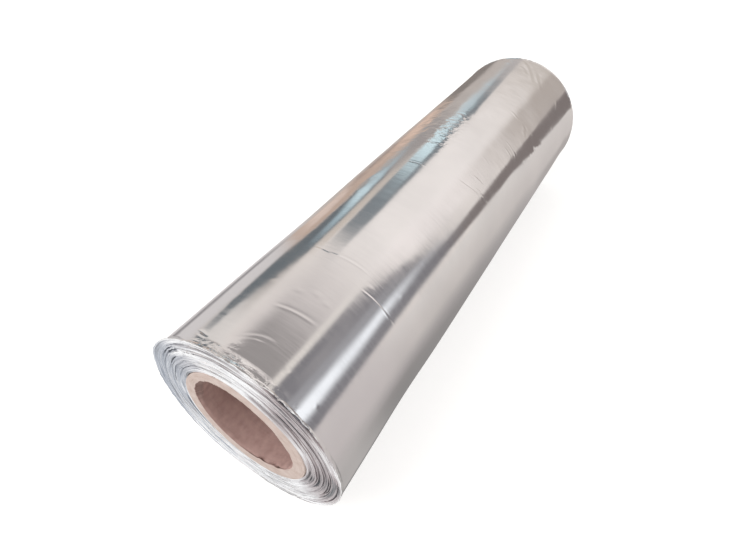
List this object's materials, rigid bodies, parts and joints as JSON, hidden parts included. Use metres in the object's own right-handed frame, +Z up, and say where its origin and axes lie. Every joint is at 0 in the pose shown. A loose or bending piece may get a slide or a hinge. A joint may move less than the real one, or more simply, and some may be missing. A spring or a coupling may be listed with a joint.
{
  "type": "aluminium foil roll",
  "caption": "Wide jumbo roll of aluminium foil wound on a plain cardboard core, lying on its side, with the turns' uneven edges showing at both ends.",
  "frame": {"origin": "on the core's axis, halfway along the roll", "axes": "+Y along the roll's axis, from the front end to the back end; +Z up, with the roll lying on its flat spot"},
  "size_m": [0.1492, 0.5012, 0.1477],
  "materials": {
    "core_board": "spiral-wound grey-brown board, matt",
    "foil": "bright rolled foil, glossy with soft lengthwise streaks"
  },
  "bodies": {
    "root": {"core": "core_board", "foil_roll": "foil"}
  },
  "joints": []
}
